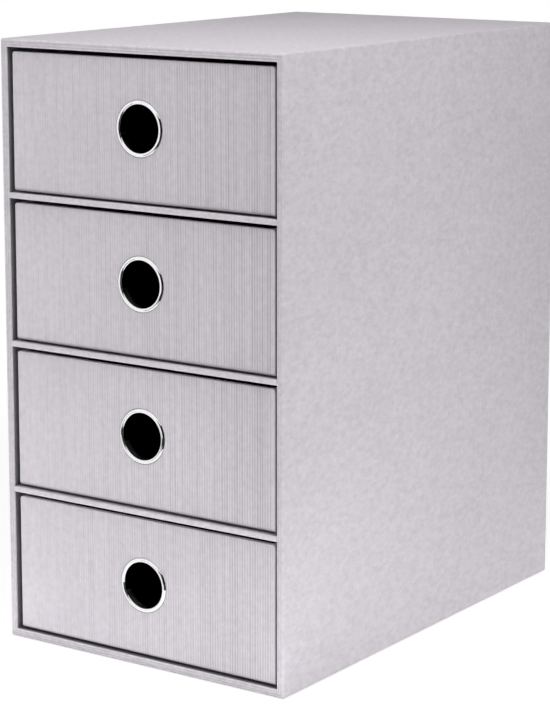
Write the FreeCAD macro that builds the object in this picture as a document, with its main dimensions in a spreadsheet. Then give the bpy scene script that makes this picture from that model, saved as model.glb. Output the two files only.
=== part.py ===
import FreeCAD, Part
import os

# Desktop mini drawers: a paper-covered board cabinet with four drawers.
# Millimetres, +Z up, front faces -Y, origin at the middle of the base.

doc = FreeCAD.newDocument("MiniDrawers")

# Driving dimensions

SIZES = {
    "cabinet_width": 150.0,       # over the cover paper
    "cabinet_depth": 228.0,       # front edges to back sheet
    "cabinet_height": 270.0,      # base sheet to top
    "paper": 0.3,                 # cover paper and lining paper
    "side_board": 2.9,            # left and right boards
    "end_board": 3.0,             # top and bottom boards
    "back_board": 2.7,
    "shelf_board": 1.9,
    "cabinet_rounding": 0.9,      # outer edges of the cabinet, over the paper
    "mouth_rounding": 0.4,        # inner edges of the front, over the paper
    "shelf_rounding": 0.6,        # front edges of a shelf, over the paper
    "cabinet_turn_in": 0.8,       # cover paper that shows inside the front, before the lining
    "back_turn_over": 12.0,       # cover paper on the back
    "sheet_margin": 2.0,          # base and back sheets, inside the cabinet's outline
    "drawer_board": 1.9,
    "drawer_rounding": 1.5,       # outer edges of a drawer, over the paper
    "rim_rounding": 0.6,          # inner edge of a drawer's rim, over the paper
    "drawer_turn_in": 12.0,       # cover paper inside a drawer's rim
    "drawer_recess": 1.6,         # front edges of the cabinet to a drawer's front
    "side_gap": 1.7,              # each side of a drawer
    "top_gap": 1.7,               # above a drawer
    "running_gap": 0.5,           # drawer above what it slides on
    "rear_gap": 1.5,              # behind a closed drawer
    "eyelet_bore": 20.4,          # clear width of the finger hole
    "eyelet_metal": 0.4,
    "eyelet_dome": 1.0,           # half width of the domed ring
    "eyelet_curl": 0.9,           # half width of the rolled end
    "eyelet_rise": 1.0,           # middle of the hole above a drawer's middle
    "hole_gap": 0.1,              # round the barrel, in the holes that it passes
    "washer_metal": 0.4,
    "washer_margin": 0.7,         # washer past the rolled end
    "overrun": 2.0,               # cutters past the faces that they cut
}

SHELVES = 3
DRAWERS = SHELVES + 1

# Two places nearer than this are one place
SAME = 1e-6

sheet = doc.addObject("Spreadsheet::Sheet", "Sizes")
for row, (alias, value) in enumerate(SIZES.items(), start=1):
    sheet.set(f"A{row}", alias)
    sheet.set(f"B{row}", str(value))
    sheet.setAlias(f"B{row}", alias)
doc.recompute()


def size(text):
    """A driving dimension, or a sum of them, as an expression on the sheet."""
    words = [f"Sizes.{word}" if word in SIZES else word for word in text.split()]
    return "(" + " ".join(words) + ")"


# Levels that pieces share, worked out from the driving dimensions

PAPER = size("paper")
OVERRUN = size("overrun")
LEFT = size("- cabinet_width / 2")
RIGHT = size("cabinet_width / 2")
FRONT = size("- cabinet_depth / 2")
BACK = size("cabinet_depth / 2")
TOP = size("cabinet_height")
UNDERSIDE = "0"

# The cabinet under its back sheet and over its base sheet
COVER_LOW = (LEFT, FRONT, PAPER)
COVER_HIGH = (RIGHT, f"{BACK} - {PAPER}", TOP)

# The space inside the cabinet, clear of its paper
CLEAR_LEFT = f"({LEFT} + {size('side_board + 2 * paper')})"
CLEAR_RIGHT = f"({RIGHT} - {size('side_board + 2 * paper')})"
CLEAR_BACK = f"({BACK} - {size('back_board + 3 * paper')})"
CLEAR_FLOOR = size("end_board + 3 * paper")
CLEAR_CEILING = f"({TOP} - {size('end_board + 2 * paper')})"

SHELF = size("shelf_board + 2 * paper")
STOREY = f"(({CLEAR_CEILING} - {CLEAR_FLOOR} - {SHELVES} * {SHELF}) / {DRAWERS})"


def storey_floor(number):
    """The level that drawer NUMBER stands over. Drawer 1 is at the top."""
    return f"({CLEAR_FLOOR} + {DRAWERS - number} * ({STOREY} + {SHELF}))"


def grown(low, high, by):
    """The corners of a box moved outwards on every side."""
    return [f"({place}) - ({by})" for place in low], [f"({place}) + ({by})" for place in high]


def shrunk(low, high, by):
    """The corners of a box moved inwards on every side."""
    return [f"({place}) + ({by})" for place in low], [f"({place}) - ({by})" for place in high]


def block(name, low, high):
    """A box between two corners."""
    solid = doc.addObject("Part::Box", name)
    for side, axis, start, end in zip(("Length", "Width", "Height"), "xyz", low, high):
        solid.setExpression(side, f"({end}) - ({start})")
        solid.setExpression(f"Placement.Base.{axis}", start)
    return solid


def joined(kind, name, base, tool):
    """A boolean of two solids. KIND is Cut, Fuse or Common."""
    result = doc.addObject(f"Part::{kind}", name)
    result.Base = base
    result.Tool = tool
    return result


def number(*aliases):
    """The first dimension on the sheet less the others."""
    first, *others = [float(sheet.get(alias)) for alias in aliases]
    return first - sum(others)


def rounded(name, base, radius, pick=None):
    """A fillet along every edge of a solid, or along the edges that PICK returns."""
    doc.recompute()
    edges = base.Shape.Edges
    picked = pick(base.Shape) if pick else edges
    result = doc.addObject("Part::Fillet", name)
    result.Base = base
    result.Edges = [
        (index, radius, radius)
        for index, edge in enumerate(edges, start=1)
        if any(edge.isSame(wanted) for wanted in picked)
    ]
    return result


def hole_edges(shape, axis, level):
    """The edges round the hole in the flat face that a shape has at a level of one axis."""
    for face in shape.Faces:
        if abs(getattr(face.CenterOfMass, axis) - level) < SAME:
            wires = [wire for wire in face.Wires if not wire.isSame(face.OuterWire)]
            return [edge for wire in wires for edge in wire.Edges]
    return []


def mouth_edges(shape):
    return hole_edges(shape, "y", shape.BoundBox.YMin)


def rim_edges(shape):
    return hole_edges(shape, "z", shape.BoundBox.ZMax)


def front_edges(shape):
    """The two long edges at the front of a shelf."""
    ends = [edge for edge in shape.Edges if abs(edge.CenterOfMass.y - shape.BoundBox.YMin) < SAME]
    return [edge for edge in ends if edge.BoundBox.XLength > edge.BoundBox.ZLength]


# Round pieces share one direction: their axis runs from the front to the back
ACROSS_FRONT = FreeCAD.Rotation(FreeCAD.Vector(1, 0, 0), -90)


def placed(solid, centre):
    """Stands a round solid on a centre with its axis towards the back."""
    solid.Placement.Rotation = ACROSS_FRONT
    for axis, place in zip("xyz", centre):
        solid.setExpression(f"Placement.Base.{axis}", place)
    return solid


def rod(name, centre, radius, start, end):
    """A cylinder round the line through a centre, between two places along it."""
    solid = doc.addObject("Part::Cylinder", name)
    solid.setExpression("Radius", radius)
    solid.setExpression("Height", f"({end}) - ({start})")
    return placed(solid, (centre[0], start, centre[2]))


def tube(name, centre, outer, inner, start, end):
    bore = rod(f"{name}_bore", centre, inner, f"{start} - {OVERRUN}", f"{end} + {OVERRUN}")
    return joined("Cut", name, rod(f"{name}_outside", centre, outer, start, end), bore)


def bead(name, centre, ring, half_width, metal):
    """A hollow ring of sheet metal: a torus less a smaller torus in it."""
    rings = []
    for part, radius in (("outside", half_width), ("inside", f"{half_width} - {metal}")):
        solid = doc.addObject("Part::Torus", f"{name}_{part}")
        solid.setExpression("Radius1", ring)
        solid.setExpression("Radius2", radius)
        rings.append(placed(solid, centre))
    return joined("Cut", name, *rings)


PIECES = []


def piece(solid, label):
    """Marks a finished piece. Its label names its file."""
    solid.Label = label
    PIECES.append(solid)
    return solid


def cabinet_panels(shell):
    """The five boards of the cabinet, cut from one rounded shell."""
    inner_low, inner_high = grown(
        (CLEAR_LEFT, FRONT, CLEAR_FLOOR), (CLEAR_RIGHT, CLEAR_BACK, CLEAR_CEILING), PAPER
    )
    panels = {
        "top": ((LEFT, FRONT, inner_high[2]), (RIGHT, BACK, TOP)),
        "bottom": ((LEFT, FRONT, UNDERSIDE), (RIGHT, BACK, inner_low[2])),
        "left": ((LEFT, FRONT, inner_low[2]), (inner_low[0], BACK, inner_high[2])),
        "right": ((inner_high[0], FRONT, inner_low[2]), (RIGHT, BACK, inner_high[2])),
        "back": ((inner_low[0], inner_high[1], inner_low[2]), (inner_high[0], BACK, inner_high[2])),
    }
    for name, (low, high) in panels.items():
        slab = block(f"cabinet_{name}_slab", low, high)
        piece(joined("Common", f"cabinet_{name}", shell, slab), f"carcass_{name}_board")


def cabinet_cover(outside, shell):
    """Cover paper: round the boards, turned in at the mouth and turned over at the back."""
    skin = joined("Cut", "cabinet_skin", outside, shell)
    start = f"({FRONT} + {size('cabinet_turn_in')})"
    low, high = grown((CLEAR_LEFT, FRONT, CLEAR_FLOOR), (CLEAR_RIGHT, CLEAR_BACK, CLEAR_CEILING), PAPER)
    behind = block("cabinet_lining_room", (low[0], start, low[2]), high)
    turned = joined("Cut", "cabinet_turned_in", skin, behind)
    low, high = shrunk(COVER_LOW, COVER_HIGH, size("back_turn_over"))
    window = block(
        "cabinet_back_window",
        (low[0], f"{COVER_HIGH[1]} - {PAPER}", low[2]),
        (high[0], f"{COVER_HIGH[1]} + {OVERRUN}", high[2]),
    )
    piece(joined("Cut", "cabinet_cover", turned, window), "carcass_cover")


def cabinet_sheets():
    """Base sheet, and a back sheet that fills the window in the cover."""
    margin = size("sheet_margin")
    low, high = shrunk((LEFT, FRONT, UNDERSIDE), (RIGHT, BACK, TOP), margin)
    piece(block("base", (low[0], low[1], UNDERSIDE), (high[0], high[1], PAPER)), "base_sheet")
    plate = block("back_plate", (low[0], COVER_HIGH[1], low[2]), (high[0], BACK, high[2]))
    low, high = shrunk(COVER_LOW, COVER_HIGH, size("back_turn_over"))
    filling = block(
        "back_filling",
        (low[0], f"{COVER_HIGH[1]} - {PAPER}", low[2]),
        (high[0], COVER_HIGH[1], high[2]),
    )
    piece(joined("Fuse", "back", plate, filling), "back_sheet")


def cabinet_linings():
    """Lining paper on the five inner faces, from the cover's turned edge to the back."""
    start = f"({FRONT} + {size('cabinet_turn_in')})"
    low, high = grown((CLEAR_LEFT, start, CLEAR_FLOOR), (CLEAR_RIGHT, CLEAR_BACK, CLEAR_CEILING), PAPER)
    linings = {
        "top": ((low[0], start, CLEAR_CEILING), (high[0], CLEAR_BACK, high[2])),
        "bottom": ((low[0], start, low[2]), (high[0], CLEAR_BACK, CLEAR_FLOOR)),
        "left": ((low[0], start, CLEAR_FLOOR), (CLEAR_LEFT, CLEAR_BACK, CLEAR_CEILING)),
        "right": ((CLEAR_RIGHT, start, CLEAR_FLOOR), (high[0], CLEAR_BACK, CLEAR_CEILING)),
        "back": ((low[0], CLEAR_BACK, low[2]), high),
    }
    for name, (corner, opposite) in linings.items():
        piece(block(f"{name}_lining", corner, opposite), f"lining_{name}")


def cabinet():
    outside = rounded("cabinet_outside", block("cabinet_box", COVER_LOW, COVER_HIGH), number("cabinet_rounding"))
    core = rounded(
        "cabinet_core",
        block("cabinet_core_box", *shrunk(COVER_LOW, COVER_HIGH, PAPER)),
        number("cabinet_rounding", "paper"),
    )
    clear_low = (CLEAR_LEFT, f"{FRONT} - {OVERRUN}", CLEAR_FLOOR)
    clear_high = (CLEAR_RIGHT, CLEAR_BACK, CLEAR_CEILING)
    clear = block("cabinet_clear", clear_low, clear_high)
    board_clear = block("cabinet_board_clear", *grown(clear_low, clear_high, PAPER))
    open_outside = rounded(
        "cabinet_open_outside",
        joined("Cut", "cabinet_hollow_outside", outside, clear),
        number("mouth_rounding"),
        mouth_edges,
    )
    open_core = rounded(
        "cabinet_shell",
        joined("Cut", "cabinet_hollow_core", core, board_clear),
        number("mouth_rounding", "paper"),
        mouth_edges,
    )
    cabinet_panels(open_core)
    cabinet_cover(open_outside, open_core)
    cabinet_sheets()
    cabinet_linings()


def shelf(order):
    """A board shelf with cover paper folded round its front. Shelf 1 is at the top."""
    name = f"shelf_{order}"
    ceiling = storey_floor(order)
    low = (CLEAR_LEFT, FRONT, f"{ceiling} - {SHELF}")
    high = (CLEAR_RIGHT, CLEAR_BACK, ceiling)
    outside = rounded(f"{name}_outside", block(f"{name}_box", low, high), number("shelf_rounding"), front_edges)
    board = rounded(
        f"{name}_core",
        block(
            f"{name}_core_box",
            (low[0], f"{FRONT} + {PAPER}", f"{low[2]} + {PAPER}"),
            (high[0], high[1], f"{high[2]} - {PAPER}"),
        ),
        number("shelf_rounding", "paper"),
        front_edges,
    )
    piece(board, f"{name}_board")
    piece(joined("Cut", f"{name}_fold", outside, board), f"{name}_cover")


def drawer_boards(name, shell, low, high, hole):
    """The five boards of a drawer, cut from one rounded shell. The front has the finger hole."""
    thick = size("drawer_board + paper")
    floor = f"{low[2]} + {thick}"
    rear, front = f"{high[1]} - {thick}", f"{low[1]} + {thick}"
    boards = {
        "floor": (low, (high[0], high[1], floor)),
        "front": ((low[0], low[1], floor), (high[0], front, high[2])),
        "rear": ((low[0], rear, floor), high),
        "left": ((low[0], front, floor), (f"{low[0]} + {thick}", rear, high[2])),
        "right": ((f"{high[0]} - {thick}", front, floor), (high[0], rear, high[2])),
    }
    for place, (corner, opposite) in boards.items():
        slab = block(f"{name}_{place}_slab", corner, opposite)
        board = joined("Common", f"{name}_{place}", shell, slab)
        if place == "front":
            board = joined("Cut", f"{name}_{place}_holed", board, hole)
        piece(board, f"{name}_{place}_board")


def drawer_papers(name, outside, shell, room, room_low, room_high, hole):
    """Cover paper with its turned rim, and the lining paper below the rim."""
    skin = joined("Cut", f"{name}_skin", outside, shell)
    low, high = grown(room_low, room_high, PAPER)
    top = f"{room_high[2]} - {OVERRUN} - {size('drawer_turn_in')}"
    below = block(f"{name}_lining_room", low, (high[0], high[1], top))
    turned = joined("Cut", f"{name}_turned_in", skin, below)
    piece(joined("Cut", f"{name}_wrap", turned, hole), f"{name}_cover")
    tray = joined("Cut", f"{name}_tray", below, room)
    piece(joined("Cut", f"{name}_tray_holed", tray, hole), f"{name}_lining")


def eyelet(name, centre, inner_face):
    """Domed ring, barrel and rolled end in one piece of metal, and the washer under the rolled end."""
    metal, bore = size("eyelet_metal"), size("eyelet_bore / 2")
    dome, curl = size("eyelet_dome"), size("eyelet_curl")
    barrel, face = f"({bore} + {metal})", centre[1]
    rear = f"({inner_face} + {size('washer_metal')})"
    reach = f"({bore} + 2 * {dome} + {OVERRUN})"
    ring = bead(f"{name}_dome", centre, f"{bore} + {dome}", dome, metal)
    behind = rod(f"{name}_dome_trim", centre, reach, face, f"{face} + {dome} + {OVERRUN}")
    ring = joined("Cut", f"{name}_dome_front", ring, behind)
    roll_centre = (centre[0], rear, centre[2])
    roll = bead(f"{name}_roll", roll_centre, f"{bore} + {curl}", curl, metal)
    ahead = rod(f"{name}_roll_trim", centre, reach, f"{rear} - {curl} - {OVERRUN}", rear)
    roll = joined("Cut", f"{name}_roll_rear", roll, ahead)
    pipe = tube(f"{name}_barrel", centre, barrel, bore, face, rear)
    headed = joined("Fuse", f"{name}_headed", ring, pipe)
    piece(joined("Fuse", f"{name}_eyelet_metal", headed, roll), f"{name}_eyelet")
    inner = f"{barrel} + {size('hole_gap')}"
    outer = f"{bore} + 2 * {curl} + {size('washer_margin')}"
    piece(tube(f"{name}_washer_metal", centre, outer, inner, inner_face, rear), f"{name}_washer")


def drawer(order):
    """A board tray in its papers, with an eyelet in its front. Drawer 1 is at the top."""
    name = f"drawer_{order}"
    floor = f"({storey_floor(order)} + {size('running_gap')})"
    ceiling = f"({storey_floor(order)} + {STOREY} - {size('top_gap')})"
    face = f"({FRONT} + {size('drawer_recess')})"
    low = (f"{CLEAR_LEFT} + {size('side_gap')}", face, floor)
    high = (f"{CLEAR_RIGHT} - {size('side_gap')}", f"{CLEAR_BACK} - {size('rear_gap')}", ceiling)
    wall = size("drawer_board + 2 * paper")
    room_low, room_high = shrunk(low, high, wall)
    room_high = (room_high[0], room_high[1], f"{ceiling} + {OVERRUN}")
    room = block(f"{name}_room", room_low, room_high)
    board_room = block(f"{name}_board_room", *grown(room_low, room_high, PAPER))

    outside = rounded(f"{name}_outside", block(f"{name}_box", low, high), number("drawer_rounding"))
    core_low, core_high = shrunk(low, high, PAPER)
    core = rounded(
        f"{name}_core", block(f"{name}_core_box", core_low, core_high), number("drawer_rounding", "paper")
    )
    open_outside = rounded(
        f"{name}_open_outside",
        joined("Cut", f"{name}_hollow_outside", outside, room),
        number("rim_rounding"),
        rim_edges,
    )
    shell = rounded(
        f"{name}_shell",
        joined("Cut", f"{name}_hollow_core", core, board_room),
        number("rim_rounding", "paper"),
        rim_edges,
    )
    centre = (UNDERSIDE, face, f"(({floor} + {ceiling}) / 2 + {size('eyelet_rise')})")
    inner_face = f"({face} + {wall})"
    barrel_hole = size("eyelet_bore / 2 + eyelet_metal + hole_gap")
    hole = rod(f"{name}_hole", centre, barrel_hole, f"{face} - {OVERRUN}", f"{inner_face} + {OVERRUN}")
    drawer_boards(name, shell, low, high, hole)
    drawer_papers(name, open_outside, shell, room, room_low, room_high, hole)
    eyelet(name, centre, inner_face)


cabinet()
for order in range(1, SHELVES + 1):
    shelf(order)
for order in range(1, DRAWERS + 1):
    drawer(order)
doc.recompute()

# Every object is sound before any file is written

for item in doc.Objects:
    faults = {"Invalid", "Error"} & set(item.State)
    if faults:
        raise RuntimeError(f"{item.Name} is {faults}")
for solid in PIECES:
    if solid.Shape.isNull() or not solid.Shape.isValid() or not solid.Shape.Solids:
        raise RuntimeError(f"{solid.Label} has no sound shape")

os.makedirs("parts", exist_ok=True)
for solid in PIECES:
    solid.Shape.exportStep(f"parts/{solid.Label}.step")
    print(f"{solid.Label}: {len(solid.Shape.Solids)} solid, {solid.Shape.Volume:.1f} mm3")
print(f"{len(PIECES)} pieces")
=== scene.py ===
"""Looks of a desktop cabinet with four drawers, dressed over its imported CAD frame."""

import math
import random

import bpy
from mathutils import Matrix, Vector


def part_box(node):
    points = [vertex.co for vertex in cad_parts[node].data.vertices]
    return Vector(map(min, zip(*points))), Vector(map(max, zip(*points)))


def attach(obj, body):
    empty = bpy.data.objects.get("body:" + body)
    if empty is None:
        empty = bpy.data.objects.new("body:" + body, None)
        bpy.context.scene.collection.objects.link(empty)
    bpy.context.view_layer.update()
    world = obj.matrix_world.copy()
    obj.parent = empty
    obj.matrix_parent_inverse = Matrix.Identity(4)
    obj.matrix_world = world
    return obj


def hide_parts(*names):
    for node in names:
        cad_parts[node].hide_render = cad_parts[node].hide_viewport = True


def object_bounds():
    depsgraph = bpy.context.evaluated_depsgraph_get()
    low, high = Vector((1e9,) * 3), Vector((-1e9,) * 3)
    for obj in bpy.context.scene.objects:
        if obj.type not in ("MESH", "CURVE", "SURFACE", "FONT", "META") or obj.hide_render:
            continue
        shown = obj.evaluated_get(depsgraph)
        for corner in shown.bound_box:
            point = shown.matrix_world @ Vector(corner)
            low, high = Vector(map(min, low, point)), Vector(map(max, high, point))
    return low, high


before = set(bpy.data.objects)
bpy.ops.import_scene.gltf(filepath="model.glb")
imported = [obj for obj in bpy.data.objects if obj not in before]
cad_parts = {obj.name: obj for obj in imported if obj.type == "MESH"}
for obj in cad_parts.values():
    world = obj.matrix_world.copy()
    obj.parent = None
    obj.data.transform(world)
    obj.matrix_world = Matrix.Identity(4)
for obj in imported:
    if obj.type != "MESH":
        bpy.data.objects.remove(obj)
CAD_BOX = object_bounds()

MM = 0.001
DRAWERS = [f"drawer_{order}" for order in range(1, 5)]
SHELVES = [f"shelf_{order}" for order in range(1, 4)]

# The camera that the photograph was matched with.
CAMERA_AT = (0.62142, -0.90443, 0.34578)
CAMERA_AZIMUTH = 34.871
CAMERA_PITCH = 9.698
CAMERA_LENS = 120.96
CAMERA_SENSOR = 36.0
CAMERA_SHIFT_Y = -0.12

# Cover paper. All lengths of pieces are in millimetres.
PAPER = 0.3
RIB_PITCH = 1.3
RIB_DEPTH = 0.16
RIB_STEPS = 4
# Distance from a side's ends over which its ribs fade in.
RIB_FADE = 1.6
# Strength of the ribs at the left of a drawer's front, where they are 1 at the right.
RIB_WEAKEST = 0.22
# How much single ribs vary in depth, and how far their valleys lean.
RIB_SPREAD = (0.5, 1.0)
RIB_LEAN = 0.06

# Meshes: points of a quarter turn, steps along flat sides, and where a flat's support lies.
ARC_STEPS = 5
FLAT_STEPS = 6
UPRIGHT_STEPS = 10
SUPPORT = 0.4

# Cabinet cover. Its front band is as wide as a wall at the sides, and a little wider at the
# top and the bottom. It has shallow grooves, and a small step where papers meet.
CABINET_ROUNDING = 0.9
MOUTH_ROUNDING = 0.4
CABINET_TURN_IN = 0.8
BACK_TURN_OVER = 12.0
CABINET_WALL = 3.5
CABINET_END = 3.6
INNER_CORNER = 0.15
SEAM_STEP = 0.12
BAND_GROOVES = 2
BAND_STEPS = 9
BAND_DEPTH = 0.1
# Painted shade in the band's grooves, as a share of a full valley's.
BAND_PAINTED_SHADE = 0.5

# Drawer cover. It lies close on its boards, a little inside the thickness that the CAD gives it.
DRAWER_EASE = 0.2
# Painted shade where the paper turns under the drawer's bottom, next to 1 in a valley between ribs.
BOTTOM_PAINTED_SHADE = 1.5
# Roundings of the corners that show from the front, and of the folds between front, top, sides
# and bottom.
TOP_CORNER = 1.4
TOP_FOLD = 0.35
UPRIGHT_FOLD = 0.5
BOTTOM_CORNER = 0.7
BOTTOM_FOLD = 1.7
RIM_ROUNDING = 0.6
DRAWER_WALL = 2.5
DRAWER_TURN_IN = 12.0
BOTTOM_INSET = 6.0

# Shelf cover. Its ribs are modelled for this distance behind the fold.
SHELF_ROUNDING = 0.6
SHELF_RIBBED = 12.0
SHELF_RIB_SPREAD = (0.7, 1)
SHELF_COLUMNS = 24

# Seeds of the first shelf's and the first drawer's ribs.
SHELF_SEED = 20
DRAWER_SEED = 40

# Eyelets: how thick the metal is, the bore's radius, how far the dome stands out, the radii
# that it is rounded with and where its flange ends. The paper's hole is a radius too.
EYELET_METAL = 0.4
EYELET_BORE = 10.2
EYELET_RISE = 0.63
EYELET_CREST = 0.9
EYELET_CURL = 0.9
FLANGE_RADIUS = 1.19
FLANGE_ANGLE = 68
FLANGE_STEPS = 14
EYELET_TURNS = 128
PAPER_HOLE = 12.32

# Colours.
COVER_COLOUR = (0.656, 0.6245, 0.6655)
# The cabinet's lining is dark grey; that darkness also paints the shade on the inner walls just
# inside the mouth.
LINING_COLOUR = (0.2, 0.191, 0.206)
# The drawers' lining is near black, which also paints the shade inside them that shows through the
# finger holes.
DARK_LINING = (0.018, 0.017, 0.019)
BOARD_COLOUR = (0.33, 0.31, 0.29)
METAL_DARK = (0.86, 0.86, 0.87)
METAL_BRIGHT = (0.94, 0.94, 0.95)

# Materials. Scales are per metre and depths in metres, and most noise lies from low to high.
NOISE_LOW, NOISE_MIDDLE, NOISE_HIGH = 0.3, 0.5, 0.7
MOTTLING = (330, 330, 330)
PLAIN_STREAKS = (300, 300, 300)
CLOUDS = 16
GRAIN = 2600
GRAIN_DEPTH = 0.00002
PAPER_ROUGHNESS = (0.66, 0.8)
PAPER_GLOSS = 0.12
# Point attribute with each place's painted shade, read by the paper's material.
PAINTED_SHADE_ATTRIBUTE = "valley_painted_shade"
# Painted shade: share of black in the paper's colour in a full valley between ribs.
PAINTED_VALLEY_SHADE = 0.4
# Share of the ribs' depth that the material's own wave of ribs has, where none are modelled.
WAVE_SHARE = 0.1
# Radians that a wave texture of scale 1 turns through in each metre.
WAVE_RADIANS = 20
# A mix node's sockets for two colours and for their mixture.
MIX_FIRST, MIX_SECOND, MIX_RESULT = 6, 7, 2
BOARD_FIBRES = (500, 500, 1800)
BOARD_TONES = (0.82, 1.12)
BOARD_ROUGHNESS = (0.8, 0.92)
BOARD_RELIEF = 0.00008
POLISH_MARKS = 700
METAL_ROUGHNESS = (0.05, 0.09)
METAL_RELIEF = 0.000001

# Floor and world. The floor turns from one that shows the shadow into plain white between
# these distances from the object's middle, in metres.
FLOOR_NEAR = 0.2
FLOOR_FAR = 0.5
FLOOR_HALF = 3.0
# The grey that lights the object, and the grey and the glow that are seen near it.
FLOOR_GREY = 0.8
FLOOR_SHADOW = 0.5
FLOOR_GLOW = 0.72
WORLD_LIGHT = 0.05

# Soft lamps: name, place, aim, width and length in metres, and watts. Metal mirrors none of
# them: it has the white world and the dark screens to mirror. Those named table lie on the
# floor and stand for the light that a white table throws back.
LAMPS = [
    ("left_front", (-1.3, -1.1, 0.12), (0.0, 0.0, 0.12), (0.6, 0.22), 10.4),
    ("front", (-0.2, -1.3, 0.18), (0.0, 0.0, 0.12), (0.5, 0.3), 2.0),
    ("right", (1.25, -0.1, 0.35), (0.0, 0.0, 0.12), (0.5, 0.4), 1.8),
    ("upper_right", (0.446, -0.171, 0.593), (0.0, 0.0, 0.135), (0.35, 0.35), 1.64),
    ("top", (0.0, -0.2, 0.7), (0.0, -0.05, 0.2), (0.3, 0.3), 1.38),
    ("behind", (-0.25, 1.2, 0.15), (0.0, 0.1, 0.13), (0.5, 0.2), 6.5),
    ("left_side", (-1.2, 0.35, 0.2), (0.0, 0.0, 0.15), (0.5, 0.3), 3.0),
    ("table_front", (0.0, -0.391, 0.0004), (0.0, -0.391, 1.0), (0.35, 0.55), 0.45),
    ("table_right", (0.405, -0.02, 0.0004), (0.405, -0.02, 1.0), (0.66, 0.35), 0.53),
    ("table_near", (0.25, -0.1, 0.0004), (0.25, -0.1, 1.0), (0.25, 0.2), 0.083),
    ("table_left", (-0.405, -0.02, 0.0004), (-0.405, -0.02, 1.0), (0.66, 0.35), 0.5),
    ("table_behind", (0.0, 0.391, 0.0004), (0.0, 0.391, 1.0), (0.35, 0.55), 0.45),
]

# Dark screens that only metal mirrors: they draw the dark lines in the eyelets. Each has its
# angles from the front towards the right, in degrees, the near and far end of its dark floor,
# in metres from the cabinet's front, and the height of a wall at the far end, or 0 for none.
SCREENS = [((8, 128), (0.12, 1.5), 1.15), ((-38, 8), (0.25, 0.5), 0.0)]
SCREEN_STEPS = 24
SCREEN_LIFT = 0.001
SCREEN_GREY = 0.01
SCREEN_ROUGHNESS = 0.9


def mesh_piece(name, points, faces, material, body, stands_for, painted_shade=None):
    """A smooth mesh piece from points in millimetres, in place of one CAD node.

    The last argument gives each point its painted shade: 0 on a rib, 1 in the valley between
    two full ribs, and more where the paper turns under.
    """
    mesh = bpy.data.meshes.new(name)
    mesh.from_pydata([tuple(MM * value for value in point) for point in points], [], faces)
    mesh.validate()
    mesh.polygons.foreach_set("use_smooth", [True] * len(mesh.polygons))
    mesh.materials.append(material)
    if painted_shade:
        attribute = mesh.attributes.new(PAINTED_SHADE_ATTRIBUTE, "FLOAT", "POINT")
        attribute.data.foreach_set("value", painted_shade)
    mesh.update()
    made = bpy.data.objects.new(name, mesh)
    bpy.context.scene.collection.objects.link(made)
    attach(made, body)
    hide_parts(stands_for)
    return made


def quarter_turn():
    """Sine and cosine at each step of a quarter turn."""
    angles = [math.pi / 2 * step / ARC_STEPS for step in range(ARC_STEPS + 1)]
    return [(math.sin(angle), math.cos(angle)) for angle in angles]


def corner_arc(centre, radius, start):
    """Points of a quarter turn round a centre, without its two ends."""
    angles = [start + 90 * step / ARC_STEPS for step in range(1, ARC_STEPS)]
    return [
        (
            centre[0] + radius * math.cos(math.radians(angle)),
            centre[1] + radius * math.sin(math.radians(angle)),
        )
        for angle in angles
    ]


def outline(low, high, radius, along_first, along_second):
    """A closed line round a rectangle with rounded corners, anticlockwise from its low corner.

    along_first shares out the points of the low and high side from 0 to 1, and along_second
    those of the two sides between them.
    """
    left, right = low[0] + radius, high[0] - radius
    near, far = low[1] + radius, high[1] - radius
    points = [(left + share * (right - left), low[1]) for share in along_first]
    points += corner_arc((right, near), radius, -90)
    points += [(high[0], near + share * (far - near)) for share in along_second]
    points += corner_arc((right, far), radius, 0)
    points += [(left + share * (right - left), high[1]) for share in reversed(along_first)]
    points += corner_arc((left, far), radius, 90)
    points += [(low[0], near + share * (far - near)) for share in reversed(along_second)]
    points += corner_arc((left, near), radius, 180)
    return points


def supported_shares(length, steps):
    """Shares from 0 to 1 with a support point close to each end, so that flats shade flat."""
    edge = SUPPORT / length
    return [0, *[edge + (1 - 2 * edge) * step / steps for step in range(steps + 1)], 1]


def quads_between(first, second):
    """Faces between two closed rows of vertex numbers."""
    count = len(first)
    return [
        (first[n], first[(n + 1) % count], second[(n + 1) % count], second[n]) for n in range(count)
    ]


def dip(share):
    """How low a place lies that is counted in ribs: 0 at whole numbers and 1 half-way."""
    return (1 - math.cos(2 * math.pi * share)) / 2


def rib_profile(length, seed):
    """Places along a ribbed side, and how deep the paper lies at each. The ribs vary a little."""
    chance = random.Random(seed)
    count = round(length / RIB_PITCH)
    places, depths = [], []
    for rib in range(count):
        strength = RIB_WEAKEST + (1 - RIB_WEAKEST) * rib / count
        deep = RIB_DEPTH * strength * chance.uniform(*RIB_SPREAD)
        lean = chance.uniform(-RIB_LEAN, RIB_LEAN)
        for step in range(RIB_STEPS):
            share = step / RIB_STEPS
            place = (rib + share + (lean if step else 0)) * length / count
            edge = min(place, length - place)
            fade = min(1.0, edge / RIB_FADE)
            places.append(place / length)
            depths.append(fade * deep * dip(share))
    return [*places, 1.0], [*depths, 0.0]


def fold_inset(radius, past):
    """How far in a fold of this radius lies, at a distance past the face that it ends in."""
    left = max(radius - past, 0.0)
    return radius - math.sqrt(radius**2 - left**2)


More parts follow.
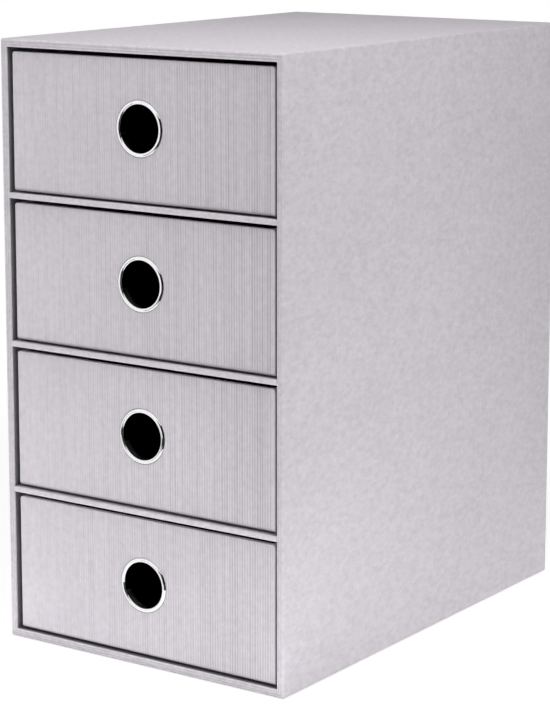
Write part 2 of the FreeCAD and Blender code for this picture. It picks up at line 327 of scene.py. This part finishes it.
def drawer_rows(low_z, high_z):
    """Rows of the drawer's cover: how far in from the outline across x and across y, height,
    and the way out. Seen from the front, the outline has rounded top corners and crisp bottom
    corners, while the paper is folded tight at the top edge and softly at the bottom edge.
    """
    lower, radius, rim = BOTTOM_FOLD, TOP_CORNER, RIM_ROUNDING
    side_wall, end_wall = DRAWER_WALL - DRAWER_EASE, DRAWER_WALL
    rows = [
        (BOTTOM_INSET, BOTTOM_INSET, low_z, 0, -1),
        (BOTTOM_CORNER + SUPPORT, lower + SUPPORT, low_z, 0, -1),
    ]
    for away, down in quarter_turn():
        above = lower * (1 - down)
        tight = fold_inset(BOTTOM_CORNER, above)
        rows.append((tight, lower * (1 - away), low_z + above, away, -down))
    rows.append((0, 0, low_z + lower + SUPPORT, 1, 0))
    middle = len(rows)
    rows.append((0, 0, high_z - radius - SUPPORT, 1, 0))
    for up, away in quarter_turn():
        below = radius * (1 - up)
        tight = fold_inset(TOP_FOLD, below)
        rows.append((radius * (1 - away), tight, high_z - below, away, up))
    for inward, up in quarter_turn():
        inset = rim * (1 - inward)
        rows.append((side_wall - inset, end_wall - inset, high_z - rim * (1 - up), -inward, up))
    turned = high_z + DRAWER_EASE - DRAWER_TURN_IN
    rows.append((side_wall, end_wall, high_z - rim - SUPPORT, -1, 0))
    rows.append((side_wall, end_wall, turned, -1, 0))
    rows.append((side_wall - PAPER, end_wall - PAPER, turned, 0, -1))
    return rows, middle


def drawer_cover(name, seed, material):
    """Ribbed paper round a drawer, folded over its rim, with a hole where the eyelet sits."""
    low, high = (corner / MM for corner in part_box(f"{name}_cover"))
    low += Vector((DRAWER_EASE, 0, DRAWER_EASE))
    high -= Vector((DRAWER_EASE, 0, DRAWER_EASE))
    ring_low, ring_high = (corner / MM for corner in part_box(f"{name}_eyelet"))
    hole_x, hole_z = (ring_low.x + ring_high.x) / 2, (ring_low.z + ring_high.z) / 2
    width, depth = high.x - low.x, high.y - low.y
    front_shares, front_depths = rib_profile(width - 2 * UPRIGHT_FOLD, seed)
    side_shares = supported_shares(depth - 2 * UPRIGHT_FOLD, FLAT_STEPS)
    arc = [0.0] * (ARC_STEPS - 1)
    flat = [0.0] * len(side_shares)
    depths = [*front_depths, *arc, *flat, *arc, *reversed(front_depths), *arc, *flat, *arc]
    front = len(front_shares)
    rear_start = front + 2 * len(arc) + len(flat)
    facing = [0.0] * len(depths)
    facing[:front] = [-1.0] * front
    facing[rear_start : rear_start + front] = [1.0] * front

    rows, middle = drawer_rows(low.z, high.z)
    points, painted_shade, numbers = [], [], []

    def add_row(across_x, across_y, height, out, up):
        """Adds one row. height is a number, or gives one for a place across and a facing."""
        corner = max(UPRIGHT_FOLD - across_y, INNER_CORNER)
        line = outline(
            (low.x + across_x, low.y + across_y),
            (high.x - across_x, high.y - across_y),
            corner,
            front_shares,
            side_shares,
        )
        start = len(points)
        for (x, y), deep, face in zip(line, depths, facing):
            z = height(x, face) if callable(height) else height
            points.append((x, y - face * deep * out, z - abs(face) * deep * up))
            # Painted shade in the rib valleys and under the bottom fold.
            painted_shade.append(max(deep / RIB_DEPTH, -up * BOTTOM_PAINTED_SHADE))
        return list(range(start, len(points)))

    def hole_edge(side):
        """Heights of the finger hole's lower (-1) or upper (1) edge, and its middle beside it."""

        def height(x, face):
            across = x - hole_x
            if face != -1.0 or abs(across) >= PAPER_HOLE:
                return hole_z
            return hole_z + side * math.sqrt(PAPER_HOLE**2 - across**2)

        return height

    faces = []
    for place, row in enumerate(rows):
        if place == middle:
            # In the hole this row has two edges: the faces below it end at one, and those
            # above it start at the other.
            below = add_row(0, 0, hole_edge(-1), 1, 0)
            above = list(below)
            for n in range(front):
                x, y, _ = points[below[n]]
                if abs(x - hole_x) < PAPER_HOLE:
                    points.append((x, y, hole_edge(1)(x, -1.0)))
                    painted_shade.append(painted_shade[below[n]])
                    above[n] = len(points) - 1
            faces += quads_between(numbers[-1], below)
            numbers.append(above)
        line = add_row(*row)
        if numbers:
            faces += quads_between(numbers[-1], line)
        numbers.append(line)

    # The floor: a strip for each step of the ribs, and one face at each side.
    bottom = numbers[0]
    rear = bottom[rear_start : rear_start + front]
    for n in range(front - 1):
        faces.append((bottom[n + 1], bottom[n], rear[front - 1 - n], rear[front - 2 - n]))
    faces.append(tuple(reversed(bottom[front - 1 : rear_start + 1])))
    faces.append(tuple(reversed([*bottom[rear_start + front - 1 :], bottom[0]])))
    made = mesh_piece(f"{name}_wrap", points, faces, material, name, f"{name}_cover", painted_shade)


def cabinet_rows(front, back):
    """Rows of the cabinet's cover from its turned-over back to its turned-in mouth.

    Each has a fixed way in from the outline, a share of the flat band, a place in depth, how
    far the seam's step counts there and how deep a groove lies there.
    """
    radius, mouth = CABINET_ROUNDING, MOUTH_ROUNDING
    rows = [
        (BACK_TURN_OVER, 0, back - PAPER, 0, 0),
        (BACK_TURN_OVER, 0, back, 0, 0),
        (radius + SUPPORT, 0, back, 0, 0),
    ]
    for away, rearward in quarter_turn():
        rows.append((radius * (1 - away), 0, back - radius * (1 - rearward), 0, 0))
    long_start, long_end = back - radius, front + radius
    for share in supported_shares(long_start - long_end, FLAT_STEPS)[1:-1]:
        rows.append((0, 0, long_start + share * (long_end - long_start), 0, 0))
    for step, (forward, away) in enumerate(quarter_turn()):
        rows.append((radius * (1 - away), 0, front + radius * (1 - forward), step / ARC_STEPS, 0))
    for step in range(1, BAND_STEPS):
        share = step / BAND_STEPS
        groove = dip(BAND_GROOVES * share)
        rows.append((radius, share, front + BAND_DEPTH * groove, 1, groove))
    for step, (inward, forward) in enumerate(quarter_turn()):
        fold = 1 - step / ARC_STEPS
        rows.append((radius + mouth * inward, 1, front + mouth * (1 - forward), fold, 0))
    rows.append((radius + mouth, 1, front + mouth + SUPPORT, 0, 0))
    rows.append((radius + mouth, 1, front + CABINET_TURN_IN, 0, 0))
    rows.append((radius + mouth - PAPER, 1, front + CABINET_TURN_IN, 0, 0))
    return rows


def cabinet_cover(material):
    """Paper round the cabinet's boards, with folded corners at the mouth and at the back."""
    low, high = (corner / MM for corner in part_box("carcass_cover"))
    rows = cabinet_rows(low.y, high.y)
    across = supported_shares(high.x - low.x, FLAT_STEPS)
    upward = supported_shares(high.z - low.z, UPRIGHT_STEPS)
    # 1 along the top and bottom bands, whose paper lies a step behind that of the side bands.
    first_half = (ARC_STEPS - 1) // 2
    second_half = ARC_STEPS - 1 - first_half
    along_end, along_side = [1] * len(across), [0] * len(upward)
    to_side = [1] * first_half + [0] * second_half
    to_end = [0] * first_half + [1] * second_half
    lowered_places = 2 * [*along_end, *to_side, *along_side, *to_end]
    points, faces, painted_shade, previous = [], [], [], None
    for fixed, share, depth, step, groove in rows:
        side = fixed + share * (CABINET_WALL - CABINET_ROUNDING - MOUTH_ROUNDING)
        end = fixed + share * (CABINET_END - CABINET_ROUNDING - MOUTH_ROUNDING)
        corner = max(CABINET_ROUNDING - side, INNER_CORNER)
        line = outline(
            (low.x + side, low.z + end), (high.x - side, high.z - end), corner, across, upward
        )
        start = len(points)
        for (x, z), lowered in zip(line, lowered_places):
            points.append((x, depth + SEAM_STEP * step * lowered, z))
            # Painted shade in the band's grooves.
            painted_shade.append(groove * BAND_PAINTED_SHADE)
        numbers = list(range(start, len(points)))
        if previous:
            faces += quads_between(previous, numbers)
        previous = numbers
    made = mesh_piece(
        "cabinet_wrap", points, faces, material, "cabinet", "carcass_cover", painted_shade
    )


def shelf_cover(name, seed, material):
    """Paper folded round a shelf's front edge, with ribs along the fold."""
    low, high = (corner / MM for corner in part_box(f"{name}_cover"))
    radius = SHELF_ROUNDING
    chance = random.Random(seed)
    profile = [(high.y, high.z, 0, 1)]
    ribs = round(SHELF_RIBBED / RIB_PITCH)
    for rib in range(ribs * RIB_STEPS):
        share = rib / RIB_STEPS
        deep = RIB_DEPTH * dip(share) * chance.uniform(*SHELF_RIB_SPREAD)
        profile.append((low.y + radius + SHELF_RIBBED * (1 - share / ribs), high.z, deep, 1))
    for forward, up in quarter_turn():
        profile.append((low.y + radius * (1 - forward), high.z - radius * (1 - up), 0, 0))
    profile.append((low.y, (low.z + high.z) / 2, 0, 0))
    for down, forward in quarter_turn():
        profile.append((low.y + radius * (1 - forward), low.z + radius * (1 - down), 0, 0))
    for rib in range(1, ribs * RIB_STEPS + 1):
        share = rib / RIB_STEPS
        deep = RIB_DEPTH * dip(share) * chance.uniform(*SHELF_RIB_SPREAD)
        profile.append((low.y + radius + SHELF_RIBBED * share / ribs, low.z, deep, -1))
    profile.append((high.y, low.z, 0, -1))

    points, faces, painted_shade = [], [], []
    for column in range(SHELF_COLUMNS + 1):
        x = low.x + (high.x - low.x) * column / SHELF_COLUMNS
        for y, z, deep, side in profile:
            points.append((x, y, z - deep * side))
            # Painted shade in the valleys between the ribs.
            painted_shade.append(deep / RIB_DEPTH)
    count = len(profile)
    for column in range(SHELF_COLUMNS):
        for n in range(count - 1):
            a = column * count + n
            faces.append((a, a + count, a + count + 1, a + 1))
    made = mesh_piece(
        f"{name}_wrap", points, faces, material, "cabinet", f"{name}_cover", painted_shade
    )


def turn_points(centre, radius, angles):
    """Radius and depth along an arc. Angle 0 faces the front and 90 faces outwards."""
    return [
        (
            centre[0] + radius * math.sin(math.radians(angle)),
            centre[1] - radius * math.cos(math.radians(angle)),
        )
        for angle in angles
    ]


def eyelet_profile(face, rear):
    """Radius and depth round the eyelet's metal, as one closed line.

    From the outer edge of the flat-domed flange over its crest to the bore, along the barrel,
    round the rolled end and back inside the metal.
    """
    crest = EYELET_BORE + EYELET_CREST
    flange = (crest, face - EYELET_RISE + FLANGE_RADIUS)
    inner = (crest, face - EYELET_RISE + EYELET_CREST)
    roll = (EYELET_BORE + EYELET_CURL, rear)
    outward = [FLANGE_ANGLE * step / FLANGE_STEPS for step in range(FLANGE_STEPS, 0, -1)]
    inward = [-90 * step / FLANGE_STEPS for step in range(FLANGE_STEPS + 1)]
    rolled = [-90 - 180 * step / FLANGE_STEPS for step in range(FLANGE_STEPS + 1)]
    line = turn_points(flange, FLANGE_RADIUS, outward)
    line += turn_points(inner, EYELET_CREST, inward)
    line += turn_points(roll, EYELET_CURL, rolled)
    line += turn_points(roll, EYELET_CURL - EYELET_METAL, reversed(rolled))
    line += turn_points(inner, EYELET_CREST - EYELET_METAL, reversed(inward))
    line += turn_points(flange, FLANGE_RADIUS - EYELET_METAL, reversed(outward))
    return line


def eyelet(name, material):
    """The domed metal ring in a drawer's finger hole, its barrel and its rolled end."""
    low, high = (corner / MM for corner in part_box(f"{name}_eyelet"))
    centre_x, centre_z = (low.x + high.x) / 2, (low.z + high.z) / 2
    line = eyelet_profile(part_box(f"{name}_cover")[0].y / MM, high.y - EYELET_CURL)
    points, rows = [], []
    for radius, depth in line:
        start = len(points)
        for turn in range(EYELET_TURNS):
            angle = 2 * math.pi * turn / EYELET_TURNS
            points.append(
                (centre_x + radius * math.cos(angle), depth, centre_z + radius * math.sin(angle))
            )
        rows.append(list(range(start, len(points))))
    faces = []
    for first, second in zip(rows, [*rows[1:], rows[0]]):
        faces += quads_between(first, second)
    made = mesh_piece(f"{name}_ring", points, faces, material, name, f"{name}_eyelet")


class Nodes:
    """A material's node tree, with short ways to add and join nodes."""

    def __init__(self, name):
        self.material = bpy.data.materials.new(name)
        self.material.use_nodes = True
        self.tree = self.material.node_tree
        self.shader = self.tree.nodes["Principled BSDF"]
        self.place = self.add("ShaderNodeTexCoord").outputs["Object"]

    def add(self, kind, **settings):
        node = self.tree.nodes.new(kind)
        for key, value in settings.items():
            setattr(node, key, value)
        return node

    def link(self, source, target):
        self.tree.links.new(source, target)

    def noise(self, scale, detail, roughness):
        """Noise in the object's own metres. scale is one number, or three along x, y and z."""
        node = self.add("ShaderNodeTexNoise")
        node.inputs["Detail"].default_value = detail
        node.inputs["Roughness"].default_value = roughness
        place = self.place
        if isinstance(scale, tuple):
            mapping = self.add("ShaderNodeMapping")
            mapping.inputs["Scale"].default_value = scale
            self.link(place, mapping.inputs["Vector"])
            place, scale = mapping.outputs["Vector"], 1.0
        node.inputs["Scale"].default_value = scale
        self.link(place, node.inputs["Vector"])
        return node.outputs["Fac"]

    def math(self, operation, first, second=0.0):
        node = self.add("ShaderNodeMath", operation=operation)
        for socket, value in zip(node.inputs, (first, second)):
            if isinstance(value, float):
                socket.default_value = value
            else:
                self.link(value, socket)
        return node.outputs["Value"]

    def spread(self, noise, low, high):
        """noise mapped to low and high."""
        node = self.add("ShaderNodeMapRange")
        node.inputs["From Min"].default_value = NOISE_LOW
        node.inputs["From Max"].default_value = NOISE_HIGH
        node.inputs["To Min"].default_value = low
        node.inputs["To Max"].default_value = high
        self.link(noise, node.inputs["Value"])
        return node.outputs["Result"]

    def ramp(self, value, stops):
        """A colour for each value. stops are places and colours."""
        node = self.add("ShaderNodeValToRGB")
        elements = node.color_ramp.elements
        while len(elements) < len(stops):
            elements.new(NOISE_MIDDLE)
        for element, (place, colour) in zip(elements, stops):
            element.position = place
            element.color = (*colour, 1)
        self.link(value, node.inputs["Fac"])
        return node.outputs["Color"]

    def darker(self, colour, share):
        """colour with a share of black mixed in."""
        node = self.add("ShaderNodeMix", data_type="RGBA")
        self.link(share, node.inputs["Factor"])
        self.link(colour, node.inputs[MIX_FIRST])
        node.inputs[MIX_SECOND].default_value = (0, 0, 0, 1)
        return node.outputs[MIX_RESULT]

    def bump(self, height, distance, under=None):
        node = self.add("ShaderNodeBump")
        node.inputs["Distance"].default_value = distance
        self.link(height, node.inputs["Height"])
        if under:
            self.link(under, node.inputs["Normal"])
        return node.outputs["Normal"]


def shade(colour, factor):
    """colour made darker or brighter by a factor."""
    return tuple(min(1.0, channel * factor) for channel in colour)


def ribs_from_place(made, across_x):
    """0 on a rib's crest and 1 in the valley beside it, along y.

    With across_x they show only on faces across x, and else on all faces but those across y.
    """
    parts = made.add("ShaderNodeSeparateXYZ")
    made.link(made.add("ShaderNodeTexCoord").outputs["Normal"], parts.inputs["Vector"])
    wave = made.add("ShaderNodeTexWave", wave_type="BANDS", bands_direction="Y")
    wave.inputs["Scale"].default_value = 2 * math.pi / WAVE_RADIANS / (RIB_PITCH * MM)
    made.link(made.place, wave.inputs["Vector"])
    if across_x:
        shown = made.math("ABSOLUTE", parts.outputs["X"])
    else:
        shown = made.math("SUBTRACT", 1.0, made.math("ABSOLUTE", parts.outputs["Y"]))
    return made.math("MULTIPLY", wave.outputs["Fac"], shown)


def paper(
    name,
    colour,
    streaks=PLAIN_STREAKS,
    ribs=None,
    contrast=0.115,
    mottling=MOTTLING,
    weights=(0.75, 0.1),
):
    """Cover paper: soft mottle, streaks along ribs, painted shade in valleys and a fine grain.

    streaks and mottling are their scales along x, y and z. ribs is None, "cabinet" or
    "drawer", and tells where the wave of ribs shows. contrast is how far the colour strays,
    and weights are the shares of mottle and streaks in that, before broad clouds.
    """
    made = Nodes(name)
    mottle = made.noise(mottling, detail=4.0, roughness=0.62)
    streak = made.noise(streaks, detail=3.0, roughness=0.55)
    clouds = made.noise(CLOUDS, detail=2.0, roughness=0.5)
    share = made.math("MULTIPLY", mottle, weights[0])
    share = made.math("ADD", share, made.math("MULTIPLY", streak, weights[1]))
    share = made.math("ADD", share, made.math("MULTIPLY", clouds, 1.0 - sum(weights)))
    tone = made.ramp(
        share,
        [
            (NOISE_LOW, shade(colour, 1 - contrast)),
            (NOISE_MIDDLE, colour),
            (NOISE_HIGH, shade(colour, 1 + contrast)),
        ],
    )
    grain = made.bump(made.noise(GRAIN, detail=3.0, roughness=0.6), GRAIN_DEPTH)
    if ribs:
        wave = ribs_from_place(made, ribs == "drawer")
        modelled = made.add("ShaderNodeAttribute", attribute_name=PAINTED_SHADE_ATTRIBUTE).outputs["Fac"]
        # Painted shade: the paper's colour darkens in rib valleys, the band's grooves and under the
        # drawers' bottom folds.
        painted_shade = made.math("MAXIMUM", made.math("MULTIPLY", wave, WAVE_SHARE), modelled)
        tone = made.darker(tone, made.math("MULTIPLY", painted_shade, PAINTED_VALLEY_SHADE))
        grain = made.bump(wave, -WAVE_SHARE * RIB_DEPTH * MM, grain)
    made.link(tone, made.shader.inputs["Base Color"])
    made.link(made.spread(mottle, *PAPER_ROUGHNESS), made.shader.inputs["Roughness"])
    made.link(grain, made.shader.inputs["Normal"])
    made.shader.inputs["Specular IOR Level"].default_value = PAPER_GLOSS
    return made.material


def board(name, colour):
    """Grey board with short fibres, seen only at cut edges."""
    made = Nodes(name)
    fibres = made.noise(BOARD_FIBRES, detail=4.0, roughness=0.6)
    dark, light = (shade(colour, factor) for factor in BOARD_TONES)
    tone = made.ramp(fibres, [(NOISE_LOW, dark), (NOISE_MIDDLE, colour), (NOISE_HIGH, light)])
    made.link(tone, made.shader.inputs["Base Color"])
    made.link(made.spread(fibres, *BOARD_ROUGHNESS), made.shader.inputs["Roughness"])
    made.link(made.bump(fibres, BOARD_RELIEF), made.shader.inputs["Normal"])
    return made.material


def chrome(name):
    """Plated metal with faint polishing marks."""
    made = Nodes(name)
    marks = made.noise(POLISH_MARKS, detail=3.0, roughness=0.6)
    tone = made.ramp(marks, [(NOISE_LOW, METAL_DARK), (NOISE_HIGH, METAL_BRIGHT)])
    made.link(tone, made.shader.inputs["Base Color"])
    made.shader.inputs["Metallic"].default_value = 1.0
    made.link(made.spread(marks, *METAL_ROUGHNESS), made.shader.inputs["Roughness"])
    made.link(made.bump(marks, METAL_RELIEF), made.shader.inputs["Normal"])
    return made.material


cabinet_paper = paper(
    "cabinet_cover_paper",
    COVER_COLOUR,
    streaks=(150, 500, 150),
    ribs="cabinet",
    contrast=0.125,
    mottling=(500, 260, 500),
)
drawer_paper = paper(
    "drawer_cover_paper",
    COVER_COLOUR,
    streaks=(760, 760, 90),
    ribs="drawer",
    contrast=0.12,
    weights=(0.55, 0.25),
)
plain_paper = paper("plain_sheet_paper", COVER_COLOUR)
lining_paper = paper("lining_paper", LINING_COLOUR)
dark_paper = paper("drawer_lining_paper", DARK_LINING, contrast=0.2)
grey_board = board("grey_board", BOARD_COLOUR)
plated = chrome("plated_metal")

for node_name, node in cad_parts.items():
    if node_name.endswith("_board"):
        material = grey_board
    elif node_name.startswith("lining_"):
        material = lining_paper
    elif node_name.endswith("_lining"):
        material = dark_paper
    elif node_name.endswith(("_eyelet", "_washer")):
        material = plated
    elif node_name.endswith("_sheet"):
        material = plain_paper
    elif node_name.startswith("drawer_"):
        material = drawer_paper
    else:
        material = cabinet_paper
    node.data.materials.clear()
    node.data.materials.append(material)

cabinet_cover(cabinet_paper)
for order, shelf_name in enumerate(SHELVES):
    shelf_cover(shelf_name, SHELF_SEED + order, cabinet_paper)
for order, drawer_name in enumerate(DRAWERS):
    drawer_cover(drawer_name, DRAWER_SEED + order, drawer_paper)
    eyelet(drawer_name, plated)


def seen_directly(tree):
    """1 for camera, glossy and transmission rays, and 0 for the rays that light the object."""
    path = tree.nodes.new("ShaderNodeLightPath")
    total = path.outputs["Is Camera Ray"]
    for name in ("Is Glossy Ray", "Is Transmission Ray"):
        larger = tree.nodes.new("ShaderNodeMath")
        larger.operation = "MAXIMUM"
        tree.links.new(total, larger.inputs[0])
        tree.links.new(path.outputs[name], larger.inputs[1])
        total = larger.outputs["Value"]
    return total


def floor_material():
    """A pale floor that keeps the object's shadow close by and looks white further off."""
    material = bpy.data.materials.new("pale_floor")
    material.use_nodes = True
    tree = material.node_tree
    tree.nodes.clear()
    lit = tree.nodes.new("ShaderNodeBsdfDiffuse")
    lit.inputs["Color"].default_value = (FLOOR_GREY,) * 3 + (1,)
    shadowed = tree.nodes.new("ShaderNodeBsdfDiffuse")
    shadowed.inputs["Color"].default_value = (FLOOR_SHADOW,) * 3 + (1,)
    glow = tree.nodes.new("ShaderNodeEmission")
    glow.inputs["Strength"].default_value = FLOOR_GLOW
    near = tree.nodes.new("ShaderNodeAddShader")
    far = tree.nodes.new("ShaderNodeEmission")
    place = tree.nodes.new("ShaderNodeTexCoord")
    distance = tree.nodes.new("ShaderNodeVectorMath")
    distance.operation = "LENGTH"
    fade = tree.nodes.new("ShaderNodeMapRange")
    fade.inputs["From Min"].default_value = FLOOR_NEAR
    fade.inputs["From Max"].default_value = FLOOR_FAR
    seen = tree.nodes.new("ShaderNodeMixShader")
    pick = tree.nodes.new("ShaderNodeMixShader")
    out = tree.nodes.new("ShaderNodeOutputMaterial")
    joins = [
        (shadowed.outputs[0], near.inputs[0]),
        (glow.outputs[0], near.inputs[1]),
        (place.outputs["Object"], distance.inputs[0]),
        (distance.outputs["Value"], fade.inputs["Value"]),
        (fade.outputs["Result"], seen.inputs["Fac"]),
        (near.outputs[0], seen.inputs[1]),
        (far.outputs[0], seen.inputs[2]),
        (seen_directly(tree), pick.inputs["Fac"]),
        (lit.outputs[0], pick.inputs[1]),
        (seen.outputs[0], pick.inputs[2]),
        (pick.outputs[0], out.inputs["Surface"]),
    ]
    for source, target in joins:
        tree.links.new(source, target)
    return material


floor_mesh = bpy.data.meshes.new("floor")
floor_corners = [
    (FLOOR_HALF * x, FLOOR_HALF * y, 0) for x, y in ((-1, -1), (1, -1), (1, 1), (-1, 1))
]
floor_mesh.from_pydata(floor_corners, [], [(0, 1, 2, 3)])
floor_mesh.materials.append(floor_material())
floor = bpy.data.objects.new("floor", floor_mesh)
bpy.context.scene.collection.objects.link(floor)

world = bpy.data.worlds.new("studio")
bpy.context.scene.world = world
world.use_nodes = True
sky = world.node_tree
sky.nodes.clear()
around = sky.nodes.new("ShaderNodeBackground")
around.inputs["Color"].default_value = (1, 1, 1, 1)
around.inputs["Strength"].default_value = WORLD_LIGHT
white = sky.nodes.new("ShaderNodeBackground")
white.inputs["Color"].default_value = (1, 1, 1, 1)
white.inputs["Strength"].default_value = 1.0
pick = sky.nodes.new("ShaderNodeMixShader")
sky_out = sky.nodes.new("ShaderNodeOutputWorld")
sky.links.new(seen_directly(sky), pick.inputs["Fac"])
sky.links.new(around.outputs[0], pick.inputs[1])
sky.links.new(white.outputs[0], pick.inputs[2])
sky.links.new(pick.outputs[0], sky_out.inputs["Surface"])


def lamp(name, place, aim, size, power):
    """A soft lamp that neither the camera nor metal sees."""
    light = bpy.data.lights.new(name, "AREA")
    light.shape = "RECTANGLE"
    light.size, light.size_y = size
    light.energy = power
    made = bpy.data.objects.new(name, light)
    made.location = place
    made.rotation_euler = (Vector(aim) - Vector(place)).to_track_quat("-Z", "Y").to_euler()
    made.visible_camera = False
    made.visible_glossy = False
    bpy.context.scene.collection.objects.link(made)


for row in LAMPS:
    lamp(*row)


def dark_screen(angles, reach, height, material):
    """A curved strip of dark floor, with a wall behind it where height is not 0."""
    front_y = CAD_BOX[0][1]
    points, faces = [], []
    for step in range(SCREEN_STEPS + 1):
        angle = math.radians(angles[0] + (angles[1] - angles[0]) * step / SCREEN_STEPS)
        x, y = math.sin(angle), -math.cos(angle)
        for distance, level in ((reach[0], 0), (reach[1], 0), (reach[1], height)):
            points.append((distance * x, front_y + distance * y, SCREEN_LIFT + level))
    for step in range(SCREEN_STEPS):
        for row in range(2 if height else 1):
            a = 3 * step + row
            faces.append((a, a + 3, a + 4, a + 1))
    mesh = bpy.data.meshes.new("dark_screen")
    mesh.from_pydata(points, [], faces)
    mesh.materials.append(material)
    screen = bpy.data.objects.new("dark_screen", mesh)
    for kind in ("camera", "diffuse", "transmission", "shadow", "volume_scatter"):
        setattr(screen, f"visible_{kind}", False)
    bpy.context.scene.collection.objects.link(screen)


screen_paint = bpy.data.materials.new("dark_screen")
screen_paint.use_nodes = True
screen_shader = screen_paint.node_tree.nodes["Principled BSDF"]
screen_shader.inputs["Base Color"].default_value = (SCREEN_GREY,) * 3 + (1,)
screen_shader.inputs["Roughness"].default_value = SCREEN_ROUGHNESS
for row in SCREENS:
    dark_screen(*row, screen_paint)

camera_data = bpy.data.cameras.new("camera")
camera_data.lens = CAMERA_LENS
camera_data.sensor_width = CAMERA_SENSOR
camera_data.shift_y = CAMERA_SHIFT_Y
camera = bpy.data.objects.new("camera", camera_data)
azimuth, pitch = math.radians(CAMERA_AZIMUTH), math.radians(CAMERA_PITCH)
looking = Vector(
    (
        -math.sin(azimuth) * math.cos(pitch),
        math.cos(azimuth) * math.cos(pitch),
        -math.sin(pitch),
    )
)
camera.location = CAMERA_AT
camera.rotation_euler = looking.to_track_quat("-Z", "Y").to_euler()
bpy.context.scene.collection.objects.link(camera)
bpy.context.scene.camera = camera

bpy.context.scene.view_settings.view_transform = "Standard"
